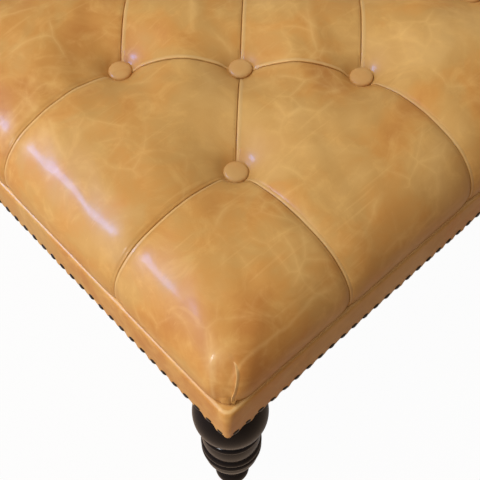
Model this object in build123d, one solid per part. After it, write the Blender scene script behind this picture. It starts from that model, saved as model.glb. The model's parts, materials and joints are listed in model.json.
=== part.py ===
from build123d import *

import math
import os

# A rectangular tufted ottoman: a crowned leather cushion, pulled down by covered buttons in a diamond
# pattern, on a low leather band with a row of domed nails and four turned wooden legs.
# Millimetres. The origin is on the floor under the middle, +X runs along the long side and +Z is up.

os.makedirs("parts", exist_ok=True)

# Plan
tuft_pitch = 212.0  # between neighbouring tufts of one row
tuft_columns = 5
tuft_rows = 3
edge_to_tuft = 192.0  # from the band's face to the nearest row of tufts

# Cushion
cushion_height = 112.0  # crown above the band
cushion_inset = 8.0  # foot of the cushion behind the band's face
side_bulge = 3.0  # how far the sides swell out beyond their foot
roll_width = 190.0  # from the side to where the top is level
cushion_corner = 42.0  # corner radius at the foot
corner_growth = 75.0  # how much that radius has grown where the top is level
leather = 1.4
hem_width = 14.0  # leather turned in under the cushion's foot
foam_side = 22.0  # foam behind the outside of the leather, at the sides
foam_drop = 30.0  # foam below the outside of the leather, on top
foam_core_radius = 34.0  # holes cored in the foam under the tufts
foam_core_floor = 26.0  # foam left under each of those holes

# Tufts and pleats
edge_seat = 68.0  # leather under the outermost buttons, above the band
inner_seat = 78.0  # leather under the other buttons
seat_radius = 15.5
dimple_radius = 70.0
pleat_crest = 96.0  # bottom of a pleat half way between two buttons
pleat_half = 32.0  # half the width of a pleat's valley there
pleat_lift = 3.0  # lower end of a pleat above the leather under its button
pleat_overrun = 16.0  # how far the valley of one straight stretch runs on into the next
corner_fold = 5.0  # depth of the fold at each corner
corner_fold_half = 9.0
cut_over = 2.0  # overrun of every cut

# Covered buttons
button_radius = 14.3
button_height = 6.5
button_rim = 2.0  # height of the straight rim
button_leather = 0.9
button_opening = 9.0  # bare middle of the underside
eye_ring = 2.6
eye_wire = 0.7
eye_sunk = 1.3  # how far the eye's centre lies below the button's underside
eye_clear = 0.3

# Twine and its staples
twine_strand = 0.7
twine_turn = 1.8  # half the distance between a twine's two strands
twine_clear = 0.05
twine_bend = 2.0
twine_tail = 26.0
twine_hole_deck = 5.0
staple_crown = 10.0
staple_leg = 8.0
staple_wire = 1.0

# Frame
band_height = 66.0
band_corner = 6.0
band_foot_round = 2.0
padding = 3.6
rail_thick = 22.0
deck_thick = 12.0
top_return = 22.0  # leather turned over the deck's edge
bottom_return = 16.0  # leather turned under the rails
cross_rail_thick = 20.0
cross_rail_height = 38.0
cross_rail_share = 0.75  # place of the cross rails, in tuft pitches from the middle
block_side = 92.0
block_height = 40.0

# Screws
screw_radius = 2.0
screw_head = 4.0
screw_length = 45.0
deck_screw_length = 32.0
plate_screw_length = 16.0
deck_screws_long = 6  # along each long side
deck_screws_short = 4
deck_screw_edge = 5.0  # from a rail's inner face to the screws of the deck
pair_gap = 16.0  # between the two screws of a pair
screw_cone = 2.4  # depth of a countersunk head
screw_point = 5.0
block_screw_reach = 55.0  # from the frame's inner corner to the screws of its block
plate_screw_edge = 5.0  # from the plate's edge to its screws

# Decorative nails
nail_head = 5.0
nail_dome = 3.2
nail_shank = 0.8
nail_length = 11.0
nail_rise = 6.2  # centre of the heads above the band's lower edge
nail_pitch = 19.4
nail_end = 13.0  # from the band's corner to the first nail

# Legs
leg_height = 293.0
leg_inset = 41.0  # axis behind both faces of the band
leg_top_radius = 33.0
leg_bulb_radius = 47.0
leg_cup_radius = 38.5
leg_neck_radius = 15.5
leg_foot_radius = 24.0
glide_radius = 13.0
glide_height = 4.0
glide_pin = 1.4
glide_pin_length = 16.0
plate_side = 44.0
plate_thick = 2.5
boss_radius = 8.0
boss_height = 8.0
bolt_radius = 4.0
bolt_in_leg = 38.0
bolt_in_block = 14.0
block_hole_clear = 0.6  # round the boss, and above the bolt

# Dust cover
dust_thick = 0.6
dust_inset = 9.0
dust_notch = 82.0
dust_staple_inset = 13.0
dust_staple_pitch = 110.0
hem_staple_pitch = 80.0

# Shares of an outline, chosen by hand
valley_reach_shares = 1.5  # height of a valley's cut, in depths of the valley
# Cushion: height share of the crown, inward share of the roll, outward share of the bulge
cushion_shares = (
    (0.00, 0.000, 0.00),
    (0.16, 0.000, 0.90),
    (0.34, 0.000, 1.00),
    (0.53, 0.022, 0.80),
    (0.70, 0.075, 0.40),
    (0.82, 0.145, 0.10),
    (0.90, 0.240, 0.00),
    (0.955, 0.360, 0.00),
    (0.985, 0.500, 0.00),
    (1.00, 0.660, 0.00),
)
# Pleat down the side: share of the way in from the face, height share of the crown, share of the full depth
side_pleat_shares = (
    (0.910, 0.650, 1.00),
    (0.640, 0.815, 1.00),
    (0.300, 0.790, 0.90),
    (0.105, 0.560, 0.75),
    (0.058, 0.250, 0.55),
    (0.046, -0.040, 0.35),
)
# Leg: depth share of its height, radius, and a (depth share, radius) point on the round span that follows
leg_top_collar = 29.0
leg_groove = 33.5
leg_ring = 37.0
leg_bead = 40.0
leg_under = 22.0
leg_neck_ring = 19.0
leg_floor_radius = 19.0
leg_outline = (
    (0.000, leg_top_radius, None),
    (0.030, leg_top_radius, None),
    (0.042, leg_top_collar, None),
    (0.052, leg_top_collar, (0.195, leg_bulb_radius)),
    (0.322, leg_groove, None),
    (0.334, leg_groove, (0.356, leg_bead)),
    (0.378, leg_ring, None),
    (0.386, leg_ring, (0.440, leg_cup_radius)),
    (0.505, leg_ring, None),
    (0.512, leg_ring, (0.536, leg_bead)),
    (0.560, leg_ring, None),
    (0.568, leg_ring, (0.592, leg_bead)),
    (0.616, leg_ring, (0.700, leg_neck_ring + leg_neck_radius)),
    (0.765, leg_under, None),
    (0.775, leg_neck_ring, (0.845, leg_neck_radius)),
    (0.900, leg_neck_ring, None),
    (0.908, leg_neck_ring, (0.955, leg_foot_radius)),
    (1.000, leg_floor_radius, None),
)

# Worked out
length = 2 * edge_to_tuft + (tuft_columns - 1) * tuft_pitch
width = 2 * edge_to_tuft + (tuft_rows - 1) * tuft_pitch
leg_top = glide_height + leg_height
band_bottom = leg_top + plate_thick - leather
rail_bottom = band_bottom + leather
band_top = band_bottom + band_height
deck_top = band_top - leather
deck_bottom = deck_top - deck_thick
pleat_depth = cushion_height - pleat_crest + cut_over
wood_inset = leather + padding
rail_inner = wood_inset + rail_thick
eye_hole = eye_ring + eye_wire + eye_clear
frame_length = length - 2 * wood_inset
frame_width = width - 2 * wood_inset


def write(node, pieces):
    """Write one node as a STEP file, whether it is one solid or a group of them."""
    solids = [solid for piece in pieces for solid in piece.solids()]
    shape = solids[0] if len(solids) == 1 else Compound(children=solids)
    shape.label = node
    export_step(shape, f"parts/{node}.step")


def box_between(low, high):
    """A box from its lowest corner to its highest."""
    size = [b - a for a, b in zip(low, high)]
    return Pos(*low) * Box(*size, align=(Align.MIN, Align.MIN, Align.MIN))


def slab(inset, low, high, radius=0):
    """A flat slab over the whole plan, inset from the band's faces, between two heights."""
    outline = Rectangle(length - 2 * inset, width - 2 * inset)
    if radius > 0:
        outline = RectangleRounded(length - 2 * inset, width - 2 * inset, radius)
    return Pos(0, 0, low) * extrude(outline, high - low)


def four_corners(inset):
    """The four points that lie inset from both faces of the band, with the signs of their quarters."""
    x, y = length / 2 - inset, width / 2 - inset
    return [(sx * x, sy * y, sx, sy) for sy in (-1, 1) for sx in (-1, 1)]


def spread(span, count):
    """Places of count things spread evenly over a span about its middle, half a step from its ends."""
    return [((i + 0.5) / count - 0.5) * span for i in range(count)]


def turned(points, arcs=()):
    """A body turned about Z from (radius, height) points; arcs gives a point on each span that is round."""
    edges = []
    for i, (start, end) in enumerate(zip(points, points[1:] + points[:1])):
        if i in arcs:
            edges.append(ThreePointArc(start, arcs[i], end))
        else:
            edges.append(Line(start, end))
    return revolve(Plane.XZ * make_face(Wire(edges)), Axis.Z)


def dome(radius, rim, height):
    """A round dome on a straight rim, standing on the plane z = 0."""
    rise = height - rim
    ball = (radius**2 + rise**2) / (2 * rise)
    middle = (radius / 2, height - ball + math.sqrt(ball**2 - (radius / 2) ** 2))
    return turned([(0, 0), (radius, 0), (radius, rim), (0, height)], {2: middle})


def screw(shank_length):
    """A countersunk wood screw that points down, its head's face on the plane z = 0."""
    tip = shank_length - screw_point
    return turned([
        (0, 0),
        (screw_head, 0),
        (screw_radius, -screw_cone),
        (screw_radius, -tip),
        (0, -shank_length),
    ])


def staple():
    """A staple that points up, its crown along X and its crown's upper side on the plane z = 0."""
    half = staple_crown / 2
    crown = box_between((-half, -staple_wire / 2, -staple_wire), (half, staple_wire / 2, 0))
    leg = box_between((half - staple_wire, -staple_wire / 2, 0), (half, staple_wire / 2, staple_leg))
    return crown + leg + mirror(leg, about=Plane.YZ)


# Tufts

def main_tufts():
    """Tufts of the main rows, which stand on the square grid."""
    return [
        ((i - (tuft_columns - 1) / 2) * tuft_pitch, (j - (tuft_rows - 1) / 2) * tuft_pitch)
        for j in range(tuft_rows)
        for i in range(tuft_columns)
    ]


def middle_tufts():
    """Tufts in the middle of each square of the grid, which make the diamonds."""
    return [
        ((i - (tuft_columns - 2) / 2) * tuft_pitch, (j - (tuft_rows - 2) / 2) * tuft_pitch)
        for j in range(tuft_rows - 1)
        for i in range(tuft_columns - 1)
    ]


def on_edge(x, y):
    """Whether a tuft belongs to the outermost rows."""
    reach_x = length / 2 - edge_to_tuft
    reach_y = width / 2 - edge_to_tuft
    return abs(abs(x) - reach_x) < cut_over or abs(abs(y) - reach_y) < cut_over


def seat_height(x, y):
    """Height of the leather under the button at a tuft."""
    return band_top + (edge_seat if on_edge(x, y) else inner_seat)


tufts = [(x, y, seat_height(x, y)) for x, y in main_tufts() + middle_tufts()]


# Cushion

def cushion_block(side, drop, foot):
    """The crowned block before it is tufted, drawn in at its sides, lowered on top, from its foot up."""
    crown = band_top + cushion_height - drop
    sections = []
    for height_share, inward_share, bulge_share in cushion_shares:
        inset = cushion_inset + inward_share * roll_width - bulge_share * side_bulge + side
        radius = cushion_corner + inward_share * corner_growth - side / 2
        height = foot + height_share * (crown - foot)
        outline = RectangleRounded(length - 2 * inset, width - 2 * inset, radius)
        sections.append(Pos(0, 0, height) * outline)
    return loft(sections, ruled=True)


def valley(start, end, out, half, depth, overrun):
    """Cut for a straight stretch of a pleat: two sloping walls up from its bottom, open towards out."""
    along = (end - start).normalized()
    up = (out - along * out.dot(along)).normalized()
    rise = depth * valley_reach_shares
    wide = half * valley_reach_shares
    plane = Plane(origin=start, x_dir=up.cross(along), z_dir=along)
    section = plane * Polygon((0, 0), (wide, rise), (-wide, rise), align=None)
    return extrude(section, (end - start).length + overrun)


def pleat_between(a, b, skin):
    """Cuts for the pleat that runs between two tufts, humped up half way."""
    up = Vector(0, 0, 1)
    crest = Vector((a[0] + b[0]) / 2, (a[1] + b[1]) / 2, band_top + pleat_crest - skin)
    cuts = []
    for x, y, seat in (a, b):
        flat = Vector(crest.X - x, crest.Y - y, 0).normalized()
        start = Vector(x, y, seat + pleat_lift - skin) + flat * seat_radius
        cuts.append(valley(start, crest, up, pleat_half, pleat_depth, pleat_overrun))
    return cuts


def side_pleat(x, y, out, skin):
    """Cuts for the pleat from an outermost tuft over the rolled edge and down to the band."""
    face = Vector(x, y, band_top) + out * edge_to_tuft
    places = []
    for way, height_share, size in side_pleat_shares:
        point = face - out * (way * edge_to_tuft) + Vector(0, 0, height_share * cushion_height)
        places.append((point, size))
    cuts = []
    for (start, size), (end, _) in zip(places, places[1:]):
        along = (end - start).normalized()
        normal = out * -along.Z + Vector(0, 0, along.dot(out))
        drop = normal * skin
        cuts.append(valley(start - drop, end - drop, normal, size * pleat_half, size * pleat_depth, pleat_overrun))
    return cuts


def corner_cuts(skin):
    """Cuts for the fold that runs down the corner in the quarter where X and Y are positive."""
    out = Vector(1, 1, 0).normalized()
    points = []
    for height_share, inward_share, bulge_share in cushion_shares[4::-1]:
        inset = cushion_inset + inward_share * roll_width - bulge_share * side_bulge
        radius = cushion_corner + inward_share * corner_growth
        back = inset + radius * (1 - math.sqrt(0.5)) + (corner_fold + skin) * math.sqrt(0.5)
        height = band_top + height_share * cushion_height
        points.append(Vector(length / 2 - back, width / 2 - back, height))
    return [
        valley(start, end, out, corner_fold_half, corner_fold, cut_over)
        for start, end in zip(points, points[1:])
    ]


def dimple(x, y, seat, skin):
    """Cut for the funnel round a button, with a flat floor for the button to sit on."""
    low = (seat_radius, seat - skin)
    high = (dimple_radius, band_top + cushion_height + cut_over - skin)
    roof = high[1] + cushion_height
    return Pos(x, y, 0) * turned([(0, low[1]), low, high, (high[0], roof), (0, roof)])


def in_quarter(x, y):
    """Whether a tuft bears on the quarter where X and Y are positive."""
    return x > -cut_over and y > -cut_over


def cushion_quarter(skin, foot):
    """The quarter of the tufted cushion where X and Y are positive, drawn in by a skin's thickness."""
    block = cushion_block(skin, skin, band_top)
    quarter = block & box_between((0, 0, foot), (length, width, band_top + 2 * cushion_height))
    cuts = corner_cuts(skin)
    for x, y in middle_tufts():
        for dx in (-1, 1):
            for dy in (-1, 1):
                a = (x, y)
                b = (x + dx * tuft_pitch / 2, y + dy * tuft_pitch / 2)
                if in_quarter(*a) and in_quarter(*b):
                    cuts += pleat_between((*a, seat_height(*a)), (*b, seat_height(*b)), skin)
    for x, y in main_tufts():
        if in_quarter(x, y) and abs(y - (width / 2 - edge_to_tuft)) < cut_over:
            cuts += side_pleat(x, y, Vector(0, 1, 0), skin)
        if in_quarter(x, y) and abs(x - (length / 2 - edge_to_tuft)) < cut_over:
            cuts += side_pleat(x, y, Vector(1, 0, 0), skin)
    cuts += [dimple(x, y, seat, skin) for x, y, seat in tufts if in_quarter(x, y)]
    return quarter - cuts


def whole(quarter):
    """The four quarters joined into one solid."""
    beside = mirror(quarter, about=Plane.YZ)
    return quarter.fuse(beside, mirror(quarter, about=Plane.XZ), mirror(beside, about=Plane.XZ))


def tuft_holes(radius, low, high):
    """Cutting cylinders for what passes down through a layer at every tuft."""
    return [
        Pos(x, y, low) * Cylinder(radius, high - low, align=(Align.CENTER, Align.CENTER, Align.MIN))
        for x, y, _ in tufts
    ]


def hem_staples():
    """Staples that hold the cushion's hem down on the deck."""
    inset = cushion_inset + leather + hem_width / 2
    drop = Pos(0, 0, band_top + leather) * Rot(180, 0, 0) * staple()
    span_x = length - 2 * (inset + cushion_corner)
    span_y = width - 2 * (inset + cushion_corner)
    pieces = []
    for sign in (-1, 1):
        for x in spread(span_x, round(span_x / hem_staple_pitch)):
            pieces.append(Pos(x, sign * (width / 2 - inset), 0) * drop)
        for y in spread(span_y, round(span_y / hem_staple_pitch)):
            pieces.append(Pos(sign * (length / 2 - inset), y, 0) * Rot(0, 0, 90) * drop)
    return pieces


def foam_core():
    """The foam block, with a hole cored under each tuft and a way down for the twine."""
    crown = band_top + cushion_height
    cores = tuft_holes(foam_core_radius, deck_top + foam_core_floor, crown)
    ways = tuft_holes(eye_hole, deck_top - cut_over, crown)
    return cushion_block(foam_side, foam_drop, deck_top) - (cores + ways)


def in_quarter_only(pieces):
    """The cuts that reach the quarter where X and Y are positive."""
    reach = foam_core_radius + cut_over
    return [piece for piece in pieces if piece.center().X > -reach and piece.center().Y > -reach]


def cushion_layers(foam, staples):
    """The leather cover with its turned-in hem, and the batting between it and the foam."""
    outside = cushion_quarter(0, band_top)
    filling = cushion_quarter(leather, band_top + leather)
    opening = slab(cushion_inset + leather + hem_width, band_top - cut_over, band_top + leather)
    holes = tuft_holes(eye_hole, band_top - cut_over, band_top + cushion_height)
    cuts = in_quarter_only(holes + staples)
    cover = outside - ([filling, opening] + cuts)
    batting = filling - ([foam] + cuts)
    return whole(cover), whole(batting)


# Buttons and twine

def button_shell():
    """The metal shell of a covered button, with the wire eye that the twine goes through."""
    body = Pos(0, 0, button_leather) * dome(
        button_radius - button_leather, button_rim - button_leather, button_height - 2 * button_leather
    )
    eye = Pos(0, 0, -eye_sunk) * Rot(90, 0, 0) * Torus(eye_ring, eye_wire)
    return body + eye


def button_cap():
    """The leather stretched over a button's shell and gathered in under its rim."""
    shell = Pos(0, 0, button_leather) * dome(
        button_radius - button_leather, button_rim - button_leather, button_height - 2 * button_leather
    )
    opening = Cylinder(button_opening, 2 * button_leather)
    return dome(button_radius, button_rim, button_height) - [shell, opening]


def twine(x, y, seat):
    """One twine: down from a button's eye in two strands, through the deck and out along its underside."""
    eye_low = seat - eye_sunk - eye_ring + eye_wire
    turn = eye_low + twine_strand + twine_clear - twine_turn
    run = deck_bottom - twine_strand - twine_clear
    out = twine_turn + twine_bend
    corner = twine_bend * (1 - math.sqrt(0.5))
    end = out + twine_tail
    edges = [ThreePointArc((twine_turn, turn), (0, turn + twine_turn), (-twine_turn, turn))]
    for sign in (-1, 1):
        edges += [
            Line((sign * end, run), (sign * out, run)),
            ThreePointArc(
                (sign * out, run),
                (sign * (twine_turn + corner), run + corner),
                (sign * twine_turn, run + twine_bend),
            ),
            Line((sign * twine_turn, run + twine_bend), (sign * twine_turn, turn)),
        ]
    path = Plane.YZ * Wire(edges)
    strand = Plane(origin=(0, end, run), x_dir=(1, 0, 0), z_dir=(0, -1, 0)) * Circle(twine_strand)
    return Pos(x, y, 0) * sweep(strand, path=path)


def twine_staples():
    """Staples that pin both strands of every twine to the deck's underside."""
    reach = twine_turn + twine_bend + twine_tail / 2
    level = deck_bottom - 2 * (twine_strand + twine_clear)
    return [Pos(x, y + sign * reach, level) * staple() for x, y, seat in tufts for sign in (-1, 1)]


# Frame

def rails():
    """The four rails of the frame: the long ones run the full length, the short ones between them."""
    x, y = frame_length / 2, frame_width / 2
    long_rail = box_between((-x, -y, rail_bottom), (x, rail_thick - y, deck_bottom))
    short_rail = box_between((-x, rail_thick - y, rail_bottom), (rail_thick - x, y - rail_thick, deck_bottom))
    return {
        "rail_front": long_rail,
        "rail_back": mirror(long_rail, about=Plane.XZ),
        "rail_left": short_rail,
        "rail_right": mirror(short_rail, about=Plane.YZ),
    }


def cross_rail(sign):
    """One of the two rails across the middle, which hold up the deck."""
    x = sign * cross_rail_share * tuft_pitch
    y = frame_width / 2 - rail_thick
    half = cross_rail_thick / 2
    return box_between((x - half, -y, deck_bottom - cross_rail_height), (x + half, y, deck_bottom))


def corner_block(sx, sy):
    """A three-sided block glued and screwed into a corner of the frame, over a leg."""
    x, y = sx * (length / 2 - rail_inner), sy * (width / 2 - rail_inner)
    outline = Polygon((x, y), (x - sx * block_side, y), (x, y - sy * block_side), align=None)
    return Pos(0, 0, rail_bottom) * extrude(outline, block_height, dir=(0, 0, 1))


def frame_screws():
    """Screws through the long rails into the ends of the short rails and the cross rails."""
    x = frame_length / 2 - rail_thick / 2
    cross = cross_rail_share * tuft_pitch
    places = [(x, (rail_bottom + deck_bottom) / 2), (-x, (rail_bottom + deck_bottom) / 2)]
    places += [(cross, deck_bottom - cross_rail_height / 2), (-cross, deck_bottom - cross_rail_height / 2)]
    inward = Pos(0, -frame_width / 2, 0) * Rot(90, 0, 0) * screw(screw_length)
    front = [Pos(x, 0, z + sign * pair_gap / 2) * inward for x, z in places for sign in (-1, 1)]
    return front + [mirror(piece, about=Plane.XZ) for piece in front]


def block_screws():
    """Screws through the rails into the corner blocks."""
    z = rail_bottom + block_height / 2
    x = length / 2 - rail_inner - block_screw_reach
    y = width / 2 - rail_inner - block_screw_reach
    from_front = Pos(x, -frame_width / 2, z) * Rot(90, 0, 0) * screw(screw_length)
    from_side = Pos(frame_length / 2, -y, z) * Rot(0, 90, 0) * screw(screw_length)
    corner = [from_front, from_side]
    pair = corner + [mirror(piece, about=Plane.YZ) for piece in corner]
    return pair + [mirror(piece, about=Plane.XZ) for piece in pair]


def deck_screws():
    """Screws down through the deck into the rails."""
    inset = rail_inner - deck_screw_edge
    y, x = width / 2 - inset, length / 2 - inset
    down = Pos(0, 0, deck_top) * screw(deck_screw_length)
    pieces = []
    for sign in (-1, 1):
        pieces += [Pos(at, sign * y, 0) * down for at in spread(frame_length, deck_screws_long)]
        pieces += [Pos(sign * x, at, 0) * down for at in spread(frame_width, deck_screws_short)]
    return pieces


def deck():
    """The plywood deck, drilled at every tuft."""
    board = box_between(
        (-frame_length / 2, -frame_width / 2, deck_bottom), (frame_length / 2, frame_width / 2, deck_top)
    )
    return board - [
        Pos(x, y, (deck_bottom + deck_top) / 2) * Cylinder(twine_hole_deck, 2 * deck_thick) for x, y, _ in tufts
    ]


# Band

def band_form(skin):
    """The band's outer form drawn in by a skin's thickness, with its rounded upper and lower edges."""
    form = slab(skin, band_bottom + skin, band_top - skin, band_corner - skin)
    form = fillet(form.edges().group_by(Axis.Z)[-1], wood_inset - skin)
    return fillet(form.edges().group_by(Axis.Z)[0], band_foot_round - skin)


def band_layers():
    """The band's leather, turned in over the deck and under the rails, and the padding behind it."""
    inside = band_form(leather)
    over = slab(top_return, deck_top - cut_over, band_top + cut_over)
    under = slab(bottom_return, band_bottom - cut_over, rail_bottom + cut_over)
    wood = slab(wood_inset, band_bottom - cut_over, band_top + cut_over)
    return band_form(0) - [inside, over, under], inside - wood


def nail():
    """A domed nail driven towards +Y, its head resting on the plane y = 0."""
    head = dome(nail_head, nail_shank, nail_dome)
    shank = turned([(0, 0), (nail_shank, 0), (nail_shank, -nail_length + 3 * nail_shank), (0, -nail_length)])
    return Rot(90, 0, 0) * (head + shank)


def nail_rows():
    """The rows of nails along the lower edge of the band, one row to a side."""
    z = band_bottom + nail_rise
    span_x, span_y = length - 2 * nail_end, width - 2 * nail_end
    gaps_x, gaps_y = round(span_x / nail_pitch), round(span_y / nail_pitch)
    along_x = [span_x * (i / gaps_x - 0.5) for i in range(gaps_x + 1)]
    along_y = [span_y * (i / gaps_y - 0.5) for i in range(gaps_y + 1)]
    one = nail()
    return {
        "nails_front": [Pos(x, -width / 2, z) * one for x in along_x],
        "nails_back": [Pos(x, width / 2, z) * Rot(0, 0, 180) * one for x in along_x],
        "nails_left": [Pos(-length / 2, y, z) * Rot(0, 0, -90) * one for y in along_y],
        "nails_right": [Pos(length / 2, y, z) * Rot(0, 0, 90) * one for y in along_y],
    }


# Legs

def leg_body():
    """One turned leg about the Z axis: a bulb, a ringed cup, a slim neck and a small foot."""
    outline = [(0, leg_top)]
    arcs = {}
    for depth_share, radius, bulge in leg_outline:
        if bulge:
            arcs[len(outline)] = (bulge[1], leg_top - bulge[0] * leg_height)
        outline.append((radius, leg_top - depth_share * leg_height))
    outline.append((0, glide_height))
    return turned(outline, arcs)


def leg():
    """One leg with the holes for its bolt and its glide's pin."""
    bolt_hole = Pos(0, 0, leg_top - bolt_in_leg) * Cylinder(
        bolt_radius, bolt_in_leg + cut_over, align=(Align.CENTER, Align.CENTER, Align.MIN)
    )
    return leg_body() - [bolt_hole, glide()]


def glide():
    """The glide under a leg: a low round foot with a pin, its flat underside on the floor."""
    edge = glide_height / 4
    return turned([
        (0, 0),
        (glide_radius - edge, 0),
        (glide_radius, edge),
        (glide_radius, glide_height - edge),
        (glide_radius - edge, glide_height),
        (glide_pin, glide_height),
        (glide_pin, glide_height + glide_pin_length),
        (0, glide_height + glide_pin_length + glide_pin),
    ])


def leg_plate():
    """The steel plate over a leg, with a threaded boss, its own screw holes countersunk from below."""
    plate = Pos(0, 0, leg_top + plate_thick / 2) * Box(plate_side, plate_side, plate_thick)
    boss = Pos(0, 0, rail_bottom) * Cylinder(
        boss_radius, boss_height, align=(Align.CENTER, Align.CENTER, Align.MIN)
    )
    return plate + boss - ([leg_bolt()] + plate_screws())


def leg_bolt():
    """The hanger bolt from a leg up through its plate."""
    low = leg_top - bolt_in_leg
    high = rail_bottom + bolt_in_block
    return Pos(0, 0, low) * Cylinder(bolt_radius, high - low, align=(Align.CENTER, Align.CENTER, Align.MIN))


def plate_screws():
    """The four screws of one leg plate, pointing up."""
    at = plate_side / 2 - plate_screw_edge
    up = Pos(0, 0, leg_top) * Rot(180, 0, 0) * screw(plate_screw_length)
    return [Pos(sx * at, sy * at, 0) * up for sx in (-1, 1) for sy in (-1, 1)]


def block_hole():
    """Clearance in a corner block for the boss and the end of the bolt."""
    radius = boss_radius + block_hole_clear
    depth = bolt_in_block + block_hole_clear + cut_over
    return Pos(0, 0, rail_bottom - cut_over) * Cylinder(
        radius, depth, align=(Align.CENTER, Align.CENTER, Align.MIN)
    )


def at_legs(piece):
    """Copies of a piece at the four legs, or of each piece of a list."""
    pieces = piece if isinstance(piece, list) else [piece]
    return [Pos(x, y, 0) * one for x, y, _, _ in four_corners(leg_inset) for one in pieces]


# Dust cover

def dust_cover():
    """The thin cloth under the frame, cut away round the legs."""
    sheet = slab(dust_inset, band_bottom - dust_thick, band_bottom)
    notches = []
    for x, y, _, _ in four_corners(dust_notch / 2):
        notches.append(Pos(x, y, band_bottom) * Box(dust_notch, dust_notch, 2 * cut_over))
    return sheet - notches


def dust_staples():
    """Staples that hold the dust cover up under the rails."""
    up = Pos(0, 0, band_bottom - dust_thick) * staple()
    span_x = length - 2 * (dust_notch + staple_crown)
    span_y = width - 2 * (dust_notch + staple_crown)
    pieces = []
    for sign in (-1, 1):
        for x in spread(span_x, round(span_x / dust_staple_pitch)):
            pieces.append(Pos(x, sign * (width / 2 - dust_staple_inset), 0) * up)
        for y in spread(span_y, round(span_y / dust_staple_pitch)):
            pieces.append(Pos(sign * (length / 2 - dust_staple_inset), y, 0) * Rot(0, 0, 90) * up)
    return pieces


# The whole ottoman

nails = nail_rows()
all_nails = [one for row in nails.values() for one in row]
hems = hem_staples()
twine_pins = twine_staples()
dust_pins = dust_staples()
frame_pins = frame_screws()
block_pins = block_screws()
deck_pins = deck_screws()
plate_pins = at_legs(plate_screws())

foam = foam_core()
cover, batting = cushion_layers(foam, hems)
band_leather, band_padding = band_layers()

nodes = {
    "cushion_cover": [cover],
    "cushion_batting": [batting],
    "cushion_foam": [foam],
    "button_covers": [Pos(*place) * button_cap() for place in tufts],
    "button_shells": [Pos(*place) * button_shell() for place in tufts],
    "tufting_twine": [twine(*place) for place in tufts],
    "twine_staples": twine_pins,
    "hem_staples": hems,
    "deck_board": [deck() - (hems + twine_pins + deck_pins)],
    "deck_screws": deck_pins,
    "frame_screws": frame_pins,
    "block_screws": block_pins,
    "band_leather": [band_leather - (all_nails + hems + dust_pins)],
    "band_padding": [band_padding - all_nails],
    "leg_plates": at_legs(leg_plate()),
    "plate_screws": plate_pins,
    "leg_bolts": at_legs(leg_bolt()),
    "floor_glides": at_legs(glide()),
    "dust_cover": [dust_cover() - dust_pins],
    "dust_staples": dust_pins,
}
for name, rail in rails().items():
    nodes[name] = [rail - (all_nails + frame_pins + block_pins + deck_pins + plate_pins + dust_pins)]
for name, sign in (("left", -1), ("right", 1)):
    nodes[f"cross_rail_{name}"] = [cross_rail(sign) - frame_pins]
for x, y, sx, sy in four_corners(leg_inset):
    corner = ("back" if sy > 0 else "front") + ("_right" if sx > 0 else "_left")
    nodes[f"leg_{corner}"] = [Pos(x, y, 0) * leg()]
    hole = Pos(x, y, 0) * block_hole()
    nodes[f"corner_block_{corner}"] = [corner_block(sx, sy) - ([hole] + block_pins + plate_pins)]
nodes.update(nails)

for name, pieces in nodes.items():
    write(name, pieces)
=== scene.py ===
import json
import math

import bpy
import numpy as np
from mathutils import Matrix, Vector


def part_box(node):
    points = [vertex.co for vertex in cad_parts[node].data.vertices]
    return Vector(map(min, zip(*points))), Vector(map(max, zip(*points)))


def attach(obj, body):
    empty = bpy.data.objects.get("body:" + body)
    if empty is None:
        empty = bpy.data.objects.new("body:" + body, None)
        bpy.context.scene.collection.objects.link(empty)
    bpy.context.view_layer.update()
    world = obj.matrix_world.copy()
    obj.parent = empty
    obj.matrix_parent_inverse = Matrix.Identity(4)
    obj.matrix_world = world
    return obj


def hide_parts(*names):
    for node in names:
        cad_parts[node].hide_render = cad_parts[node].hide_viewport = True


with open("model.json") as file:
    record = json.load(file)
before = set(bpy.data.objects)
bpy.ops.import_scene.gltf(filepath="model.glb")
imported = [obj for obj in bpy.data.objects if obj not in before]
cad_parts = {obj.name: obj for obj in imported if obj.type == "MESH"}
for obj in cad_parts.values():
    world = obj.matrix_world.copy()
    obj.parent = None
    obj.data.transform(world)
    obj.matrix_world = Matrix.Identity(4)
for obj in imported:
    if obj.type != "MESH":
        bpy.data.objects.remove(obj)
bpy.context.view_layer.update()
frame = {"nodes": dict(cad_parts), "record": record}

# The ottoman's sizes in metres
MM = 0.001
band_low, band_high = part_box("band_leather")
LENGTH = band_high.x - band_low.x
WIDTH = band_high.y - band_low.y
BAND_TOP = band_high.z  # where the cushion meets the band
BAND_BOTTOM = band_low.z
PITCH = 212 * MM  # between neighbouring tufts of a row
EDGE = 192 * MM  # from the band's face to the nearest row of tufts
CROWN = 107 * MM  # the cushion's height above the band, before it is tufted
EDGE_SEAT = 71 * MM  # height above the band of the outermost buttons' seats
INNER_SEAT = 80.5 * MM  # and of the others
BUTTON = 14.9 * MM  # radius
FAR = 1.0  # the distance given to points that no fold is near
HALF_X = LENGTH / 2 - EDGE  # the outermost tufts
HALF_Y = WIDTH / 2 - EDGE
COLUMNS = round(2 * HALF_X / PITCH) + 1
ROWS = round(2 * HALF_Y / PITCH) + 1

# The cushion's grid
CELLS = 27  # between a row of tufts and the row of tufts in the squares' middles
RINGS = 62  # from the outermost tufts over the rolled edge to the foot
STEP = PITCH / 2 / CELLS
NX = (COLUMNS - 1) * 2 * CELLS
NY = (ROWS - 1) * 2 * CELLS

# The rolled edge between two pleats: inset from the band's face and height above the band, from the foot up
ROLL = np.array([
    (3.4, 0), (1.6, 14), (2.4, 30), (6.5, 45), (17, 63), (36, 81.5), (62, 93.5), (95, 100.5), (135, 105),
    (192, 107),
]) * MM
FOOT_RADIUS = 37 * MM
RADIUS_GROWTH = 75 / 190  # of the corner radius with the inset
WIDEST_AT = 133 * MM  # inset at which the corner radius is largest

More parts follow.
